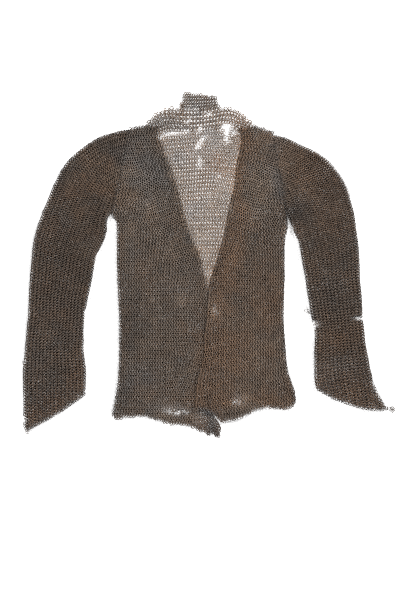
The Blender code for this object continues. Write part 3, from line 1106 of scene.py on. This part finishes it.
SLEEVE_TEARS = [Tear(*row) for row in (
    (363, -131, 15, 5.5, 8, 0.82), (376, -128, 5, 5, 0, 0.9), (265, -146, 8, 13, 0, 0.62),
    (-434, -236, 5, 5, 0, 0.8), (262, -166, 6, 5, 0, 0.7), (-300, -313, 14, 6, 30, 0.3),
    (330, -330, 30, 5, -20, 0.25),
)]
TORN = [
    (NECK_TEARS, ("neck_band", "neck_panel", "back")),
    (FRONT_TEARS, ("front_right", "front_left", "back_lower")),
    (SLEEVE_TEARS, ("sleeve_right", "sleeve_left", "sleeve_right_under", "sleeve_left_under")),
]


def torn(rings, tears):
    """The rings that are left."""
    left = []
    for ring in rings:
        shares = [tear.share for tear in tears if depth_in(tear, ring.x, ring.y) < 1]
        if not shares or rng.random() >= max(shares):
            left.append(ring)
    return left


rings_of["back_lower"] = [ring for ring in rings_of["back"] if ring.y < BACK_PARTING]
rings_of["back"] = [ring for ring in rings_of["back"] if ring.y >= BACK_PARTING]
for tears, names in TORN:
    for name in names:
        whole = len(rings_of[name])
        rings_of[name] = torn(rings_of[name], tears)
        print(name, "lost", whole - len(rings_of[name]), "rings")

# %% [markdown]
# ## Loose rings
# At ragged ends and holes a few rings hang on by one link, in short chains. A chain is a straight line of
# rings, each nearly flat and turned by chance.

# %% Loose rings
CHAIN_SLACK_X, CHAIN_SLACK_Y = 0.5, 0.8  # millimetres
LEAST_LOOSE_LEAN, MOST_LOOSE_LEAN = 0.05, 0.4  # radians
Chain = namedtuple("Chain", "piece x y to_x to_y z count")
CHAINS = [
    Chain("sleeve_left", 418, -344, 447, -347, 2.5, 5),
    Chain("sleeve_left", 449, -351, 450, -349, 2.5, 2),
    Chain("sleeve_left", 398, -324, 418, -338, 2.5, 4),
    Chain("sleeve_left", 241, -110, 241, -110, 3.0, 1),
    Chain("sleeve_left", 250, -116, 250, -116, 3.0, 1),
    Chain("sleeve_right", -434, -383, -428, -404, 2.5, 5),
    Chain("sleeve_right", -436, -237, -433, -241, 2.5, 2),
    Chain("back_lower", 3, -402, 6, -408, 2.0, 2),
    Chain("back_lower", 27, -404, 30, -413, 2.0, 3),
    Chain("neck_band", -58, 366, -58, 384, 2.5, 5),
    Chain("neck_panel", 42, 322, 45, 306, 2.5, 3),
    Chain("neck_panel", 64, 330, 60, 318, 2.5, 3),
]
for chain in CHAINS:
    for share in np.linspace(0, 1, chain.count):
        x = (chain.x + (chain.to_x - chain.x) * share + rng.normal(0, CHAIN_SLACK_X)) * MM
        y = (chain.y + (chain.to_y - chain.y) * share + rng.normal(0, CHAIN_SLACK_Y)) * MM
        lean, turn = rng.uniform(LEAST_LOOSE_LEAN, MOST_LOOSE_LEAN), rng.uniform(0, math.tau)
        axis = Vector((math.sin(lean) * math.cos(turn), math.sin(lean) * math.sin(turn), math.cos(lean)))
        rings_of[chain.piece].append(Ring(x, y, chain.z * MM, axis, FINE))
print("loose rings:", sum(chain.count for chain in CHAINS))

# %% [markdown]
# ## Patches of colour
# The iron isn't one colour. Some places are lighter and some darker, rust browns the left front and the
# cuffs, and some patches are a cold grey. The lightness patches also hold painted shade and light: painted
# shadow in the armpits and along the fronts' hem above the back's tongue, and lighter rings at the thin, torn
# places, painted for the pale floor that shows through there. Each kind of mark is a list of soft ovals that
# add to it or, with a minus sign, take away.

# %% Patches of colour
Patch = namedtuple("Patch", "x y wide tall turn amount")
PATCH_SOFTNESS = 1.4
# lighter and darker ovals, with painted shadows in the armpits and at the fronts' hem, and painted light at
# the tears
TONE_LIGHT_AND_SHADE_PATCHES = [Patch(*row) for row in (
    (133, 178, 36, 64, 0, 0.42), (-134, 142, 20, 17, 0, 0.4), (-194, 211, 42, 24, 0, 0.08),
    (-150, 205, 50, 30, 30, 0.12), (21, -110, 12, 20, 0, 0.8), (-54, -91, 10, 17, 0, 0.6),
    (-74, -354, 40, 12, -4, 1.3), (84, -328, 28, 12, 20, 1.0), (106, -194, 90, 110, 0, 0.12),
    (-62, -206, 48, 110, 0, 0.08), (-86, -2, 36, 48, 0, 0.12), (-90, 30, 60, 9, -50, 0.15),
    (212, 122, 28, 26, 0, -0.6), (168, 118, 18, 18, 0, -0.2), (-255, 140, 30, 18, 20, -0.3),
    (-237, 273, 20, 20, 0, -0.22), (-345, 221, 24, 48, -35, -0.32), (305, 201, 30, 55, 35, -0.22),
    (-178, -150, 24, 60, 0, -0.36), (142, -26, 24, 66, 0, -0.22), (-201, -326, 28, 38, 0, -0.34),
    (-398, -326, 46, 42, 0, -0.25), (-338, 33, 34, 95, 0, -0.15), (310, 33, 34, 110, 0, -0.12),
    (322, -86, 28, 34, 0, -0.12), (-110, 338, 22, 12, 40, -0.4), (82, 346, 18, 16, -30, -0.3),
    (8, 398, 12, 10, 0, -0.5), (-3, -355, 22, 8, -14, -0.7), (16, -386, 11, 28, 8, -0.4),
    (4, -392, 44, 34, 0, -0.5), (-165, 318, 48, 20, 15, -0.22), (-158, 148, 44, 13, -30, 0.28),
    (-235, 216, 55, 26, -10, 0.2), (95, 150, 28, 34, 0, 0.2),
)]
RUST_PATCHES = [Patch(*row) for row in (
    (133, 178, 44, 70, 0, -0.35), (-100, 200, 60, 60, 0, -0.18), (-90, -120, 70, 160, 0, -0.1),
    (-74, -354, 40, 12, -4, -0.6), (51, 5, 24, 95, -14, 0.85), (34, -211, 50, 48, 0, 0.75),
    (10, -317, 38, 28, 0, 0.9), (-290, 177, 60, 34, 25, 0.2), (-246, 146, 20, 30, 0, 0.15),
    (-190, 160, 50, 20, -20, 0.2), (4, -400, 44, 26, 0, 1.0), (279, 225, 58, 42, -30, 0.6),
    (94, 297, 12, 30, 0, 0.6), (80, 206, 12, 67, -8, 0.6), (317, -187, 48, 30, 0, 0.5),
    (351, -307, 48, 24, -20, 1.1), (-311, -274, 20, 20, 0, 0.6), (-386, -343, 40, 20, 30, 0.9),
    (154, -326, 34, 20, 0, 0.5), (154, -86, 38, 48, 0, 0.4), (78, 348, 18, 14, 0, 0.8),
    (300, 120, 30, 90, 10, 0.3), (32, 235, 30, 26, 0, 0.55), (10, 398, 14, 10, 0, 0.6),
)]
GREY_PATCHES = [Patch(*row) for row in (
    (-74, -354, 40, 12, -4, 1.0), (-141, 225, 38, 48, 20, 0.95), (-146, -278, 38, 34, 0, 0.85),
    (-345, -163, 40, 40, 0, 0.6), (-201, 269, 26, 34, 0, 0.6), (169, 249, 20, 72, 0, 0.7),
    (-386, -242, 30, 34, 0, 0.5), (-38, -26, 28, 48, 0, 0.5), (87, -322, 20, 15, 0, 0.7),
    (-38, 115, 10, 20, 0, 0.8), (-20, 320, 90, 60, 0, 0.5), (-360, 60, 40, 90, 0, 0.25),
)]


def patched(patches, x, y):
    return sum(patch.amount * np.exp(-depth_in(patch, x, y) ** 2 / PATCH_SOFTNESS) for patch in patches)


print("patches:", len(TONE_LIGHT_AND_SHADE_PATCHES) + len(RUST_PATCHES) + len(GREY_PATCHES))

# %% [markdown]
# ## Painted shade
# Painted shade darkens the rings along the folds and outer edges, along the open edges of the neck, and along
# the line where the left front lies over the right one, as shadow falls there. Each of these is a strip of
# grid cells, grown from an outline.

# %% Shade
FOLD_SHADE, FOLD_SHADE_REACH = 0.4, 5 * MM
EDGE_SHADE, EDGE_SHADE_REACH, EDGE_SHADE_STEPS = 0.55, 14 * MM, 4
LAP_SHADE, LAP_SHADE_REACH = 0.25, 7 * MM

edge_shade = sum(
    grow(bare_back, reach).astype(float)
    for reach in np.linspace(1 / EDGE_SHADE_STEPS, 1, EDGE_SHADE_STEPS) * EDGE_SHADE_REACH
) / EDGE_SHADE_STEPS
lap_shade = grow(COVER["front_left"], LAP_SHADE_REACH)
fold_shade = grow(~np.any(list(COVER.values()), axis=0), FOLD_SHADE_REACH)
print("mm2 in shade along the folds:", int((fold_shade & torso).sum() * (GRID / MM) ** 2))

# %% [markdown]
# ## The colour of a ring
# Each ring keeps three numbers of its own: how light it is, how rusty, and how grey. They come from its
# piece, from the patches and painted shades, from noise, and from chance. What lies beneath is darker and
# browner: that is painted shade, since little light reaches it, warmed with added rust. The open back's
# pieces in the V are painted lighter, as painted light from the pale floor under their one layer. The arms
# are darker and browner than the body, which turns into them by degrees.

# %% The colour of a ring
# tone of each piece; the open back's neck panel and neck band are painted lighter, as painted light from the
# pale floor under them
PIECE_TONE_AND_LIGHT = {"front": 0.86, "sleeve": 0.9, "neck_panel": 1.8, "neck_band": 1.28, "collar": 0.8}
ARM_TONE, ARM_FROM, ARM_TO = 0.83, 180 * MM, 250 * MM  # the body turns into the arms between these
BODY_RUST = {"front_right": 0.25, "sleeve_right": 0.25, "front_left": 0.42, "sleeve_left": 0.42}
BACK_RUST = {"neck_panel": 0.22, "neck_band": 0.25, "collar": 0.2}
ARM_RUST = 0.48
# rings beneath: added rust and a low tone are painted shade, dark and warm; the back's is less dark low down
PLAIN_RUST, BENEATH_RUST_AND_SHADE = 0.1, 0.5
PAINTED_BENEATH_SHADE, LOW_PAINTED_BENEATH_SHADE = 0.28, 0.55  # the second is for the torso's back, low down
BELLY_Y, CHEST_Y, CHEST_LIGHT = 0, 120 * MM, 0.08
TONE_CLOUDS, WIDE_TONE_CLOUDS = Cloud(0.013, 0.013, 3.1, 0.28), Cloud(0.04, 0.04, 8.7, 0.24)
RUST_CLOUDS, GREY_CLOUDS = Cloud(0.03, 0.03, 5.5, 0.28), Cloud(0.04, 0.04, 1.9, 0.65)
TONE_CHANCE, RUST_CHANCE, LEAST_TONE = 0.1, 0.05, 0.1


def ramp(value, start, end):
    """0 before the start, 1 after the end."""
    return min(max((value - start) / (end - start), 0), 1)


def colour_of(ring, name):
    """How light, how rusty and how grey a ring is."""
    x, y = ring.x, ring.y
    place = cells_at(np.array([[x, y]]))
    part = name.removesuffix("_under")
    # the piece's tone, with painted light on the open back, and the patches' painted light and shade
    tone = PIECE_TONE_AND_LIGHT.get(name, PIECE_TONE_AND_LIGHT.get(name.split("_")[0], 1.0)) * (1 + patched(TONE_LIGHT_AND_SHADE_PATCHES, x, y))
    arm = ramp(abs(x), ARM_FROM, ARM_TO)
    # painted shade along the folds and outer edges, by the neck's open edges, and along the lap line
    if name not in ("neck_band", "collar"):
        tone *= 1 - FOLD_SHADE * fold_shade[place][0]
    if name in ("front_right", "front_left"):
        tone *= 1 - EDGE_SHADE * edge_shade[place][0]
    if part in BODY_RUST:
        tone *= 1 + (1 - arm) * CHEST_LIGHT * ramp(y, BELLY_Y, CHEST_Y)
    if name == "front_right" and y < BELLY_Y:
        tone *= 1 - LAP_SHADE * lap_shade[place][0]
    tone *= 1 + cloudy(x, y, TONE_CLOUDS) + cloudy(x, y, WIDE_TONE_CLOUDS)
    tone *= math.exp(rng.normal(0, TONE_CHANCE))
    tone *= 1 - (1 - ARM_TONE) * arm
    # painted shade on the rings beneath
    if ring.kind == BENEATH:
        low = ramp(y, CHEST_Y, BELLY_Y) if part in ("back", "back_lower") else 0
        tone *= PAINTED_BENEATH_SHADE + (LOW_PAINTED_BENEATH_SHADE - PAINTED_BENEATH_SHADE) * low
    rust = BACK_RUST.get(name, PLAIN_RUST)
    if part in BODY_RUST:
        rust = BODY_RUST[part] + (ARM_RUST - BODY_RUST[part]) * arm
    rust += patched(RUST_PATCHES, x, y)
    # rust on the rings beneath, partly the warmth of their painted shade
    rust += BENEATH_RUST_AND_SHADE if ring.kind == BENEATH else 0
    rust += cloudy(x, y, RUST_CLOUDS) + rng.normal(0, RUST_CHANCE)
    grey = patched(GREY_PATCHES, x, y) + cloudy(x, y, GREY_CLOUDS)
    return max(tone, LEAST_TONE), ramp(rust, 0, 1), 0 if ring.kind == BENEATH else ramp(grey, 0, 1)


print("tones:", PIECE_TONE_AND_LIGHT)

# %% [markdown]
# ## Iron
# Old iron has a dull brown skin. It hardly looks like metal, so the metallic value is low, and its small
# bright dots come from a strong specular level. Rust is browner still and rougher. The finish mixes dark
# iron, cold grey and rust by each ring's numbers, and a fine noise breaks them into specks and roughens the
# wire. Every slot gets the same finish, because the pieces differ only in their rings' numbers.

# %% Iron finish
DARK_IRON = (0.124, 0.088, 0.061, 1)
RUSTY = (0.156, 0.087, 0.046, 1)
COLD_GREY = (0.106, 0.089, 0.078, 1)
SPECK, GRIT = 2.2 * MM, 0.35 * MM  # their sizes
SPECK_RUST, SPECK_GREY, SPECK_LIGHT = 0.2, 0.15, 0.3  # what the specks add to each
DULL, RUST_DULL, GRIT_DULL = 0.68, 0.12, 0.1
METAL, RUST_METAL = 0.15, 0.1
GRIT_HEIGHT, GRIT_STRENGTH = 0.1 * MM, 0.2


def iron_finish(name):
    material = bpy.data.materials.new(name)
    material.use_nodes = True
    tree = material.node_tree
    shader = tree.nodes["Principled BSDF"]
    start = Value(tree)

    def ring_number(label):
        return start.node("ShaderNodeAttribute", {"attribute_name": label}, output="Fac")

    def grain(size, detail):
        inputs = {"Vector": place, "Scale": 1 / size, "Detail": detail}
        return start.node("ShaderNodeTexNoise", {}, inputs, "Fac")

    def smooth(value, high):
        inputs = {"Value": value, "From Min": 0.0, "From Max": high}
        return start.node("ShaderNodeMapRange", {"interpolation_type": "SMOOTHSTEP"}, inputs)

    def mixed(factor, first, second, blend="MIX"):
        inputs = {"Factor": factor, 6: first, 7: second}  # 6 and 7 are the two colours
        return start.node("ShaderNodeMix", {"data_type": "RGBA", "blend_type": blend}, inputs, 2)

    place = start.node("ShaderNodeTexCoord", output="Object")
    specks = grain(SPECK, 3.0)
    grit = grain(GRIT, 2.0)
    rusting = smooth(ring_number("rust") + (specks - 0.5) * SPECK_RUST, 1.0)
    greying = smooth(ring_number("grey") + (specks - 0.5) * SPECK_GREY, 0.9)
    iron = mixed(greying, DARK_IRON, COLD_GREY)
    colour = mixed(rusting, iron, RUSTY)
    light = ring_number("tone") * (1 - SPECK_LIGHT / 2 + SPECK_LIGHT * specks)
    lightness = start.node("ShaderNodeCombineColor", {}, {"Red": light, "Green": light, "Blue": light})
    links = {
        "Base Color": mixed(1.0, colour, lightness, "MULTIPLY"),
        "Roughness": DULL + RUST_DULL * rusting + GRIT_DULL * grit,
        "Metallic": METAL - RUST_METAL * rusting,
        "Normal": start.node(
            "ShaderNodeBump", {}, {"Strength": GRIT_STRENGTH, "Distance": GRIT_HEIGHT, "Height": grit}
        ),
    }
    for socket, value in links.items():
        tree.links.new(value.socket, shader.inputs[socket])
    shader.inputs["Specular IOR Level"].default_value = 1.0
    return material


FINISHES = {name: iron_finish(name) for name in ("front_mail", "back_mail", "sleeve_mail", "collar_mail")}
print("finishes:", ", ".join(FINISHES))

# %% [markdown]
# ## Which solid each piece stands for
# There are more pieces of mail than solids, because the back is made in four parts and each sleeve in two
# layers. So a table says which solid each piece stands for, and which finish it has.

# %% Pieces and their solids
Piece = namedtuple("Piece", "node slot")
PIECES = {
    "front_right": Piece("front_right", "front_mail"),
    "front_left": Piece("front_left", "front_mail"),
    "neck_band": Piece("back", "back_mail"),
    "neck_panel": Piece("back", "back_mail"),
    "back": Piece("back", "back_mail"),
    "back_lower": Piece("back", "back_mail"),
    "collar": Piece("collar", "collar_mail"),
    "sleeve_right": Piece("sleeve_right", "sleeve_mail"),
    "sleeve_right_under": Piece("sleeve_right", "sleeve_mail"),
    "sleeve_left": Piece("sleeve_left", "sleeve_mail"),
    "sleeve_left_under": Piece("sleeve_left", "sleeve_mail"),
}
print("pieces:", len(PIECES))

# %% [markdown]
# ## Putting the rings in place
# Each piece starts as a mesh of bare points that carry their numbers, and the node group turns it into
# rings. The modifier is applied, so a finished piece is a plain mesh. It rides on the shirt's only body and
# stands for its solid. Each ring is turned a little in its own plane, and it gets a small square of the
# bake's texture.

# %% Build the pieces
BAKE_GAP = 0.08  # of a square
TURN_CHANCE = 0.12  # radians


def bake_cells(count):
    """A square of the texture for each ring: its lower corner and its side, with a gap between squares."""
    number = np.arange(count)
    across = math.ceil(math.sqrt(count))
    gap = BAKE_GAP / across
    side = np.full(count, 1 / across - 2 * gap)
    return np.stack([number % across / across + gap, number // across / across + gap, side], 1)


def link_piece(name, rings):
    mesh = bpy.data.meshes.new(name + "_mail")
    mesh.vertices.add(len(rings))
    mesh.vertices.foreach_set("co", np.array([ring[:3] for ring in rings]).ravel())
    piece = bpy.data.objects.new(name + "_mail", mesh)
    bpy.context.scene.collection.objects.link(piece)
    tone, rust, grey = np.array([colour_of(ring, name) for ring in rings]).T
    turns = rng.normal(0, TURN_CHANCE, len(rings))
    values = {
        "kind": ("INT", "value", [ring.kind for ring in rings]),
        "lean": ("FLOAT_VECTOR", "vector", [ring.axis for ring in rings]),
        "spin": ("FLOAT_VECTOR", "vector", np.stack([turns * 0, turns * 0, turns], 1)),
        "cell": ("FLOAT_VECTOR", "vector", bake_cells(len(rings))),
        "tone": ("FLOAT", "value", tone),
        "rust": ("FLOAT", "value", rust),
        "grey": ("FLOAT", "value", grey),
    }
    for label, (data_type, field, found) in values.items():
        stored = mesh.attributes.new(label, data_type, "POINT")
        stored.data.foreach_set(field, np.array(found).ravel())
    bpy.ops.object.select_all(action="DESELECT")
    piece.select_set(True)
    bpy.context.view_layer.objects.active = piece
    linking = piece.modifiers.new("linking", "NODES")
    linking.node_group = link_rings
    bpy.ops.object.modifier_apply(modifier=linking.name)
    piece.data.materials.clear()
    piece.data.materials.append(FINISHES[PIECES[name].slot])
    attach(piece, "root")
    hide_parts(PIECES[name].node)
    triangles = sum(len(face.vertices) - 2 for face in piece.data.polygons)
    print(name, len(rings), "rings", triangles, "triangles")
    return piece


pieces = {name: link_piece(name, rings) for name, rings in rings_of.items()}
print("rings in all:", sum(len(rings) for rings in rings_of.values()))

# %% [markdown]
# ## The cut of each piece
# Mail is knitted to shape and lies flat here, so a piece's cut is its outline, as a set of grid cells. A
# sleeve's two layers are the two halves of one tube, and each takes the outline of the whole sleeve.

# %% The cuts
CUTS = {name: REGIONS.get(name, COVER[PIECES[name].node]) for name in PIECES}
CUTS["back_lower"] = CUTS["back"] & (cell_y < BACK_PARTING)
CUTS["back"] = CUTS["back"] & (cell_y >= BACK_PARTING)

# %% Sizes
print("solid box:", [[round(v / MM, 1) for v in corner] for corner in solid_box])
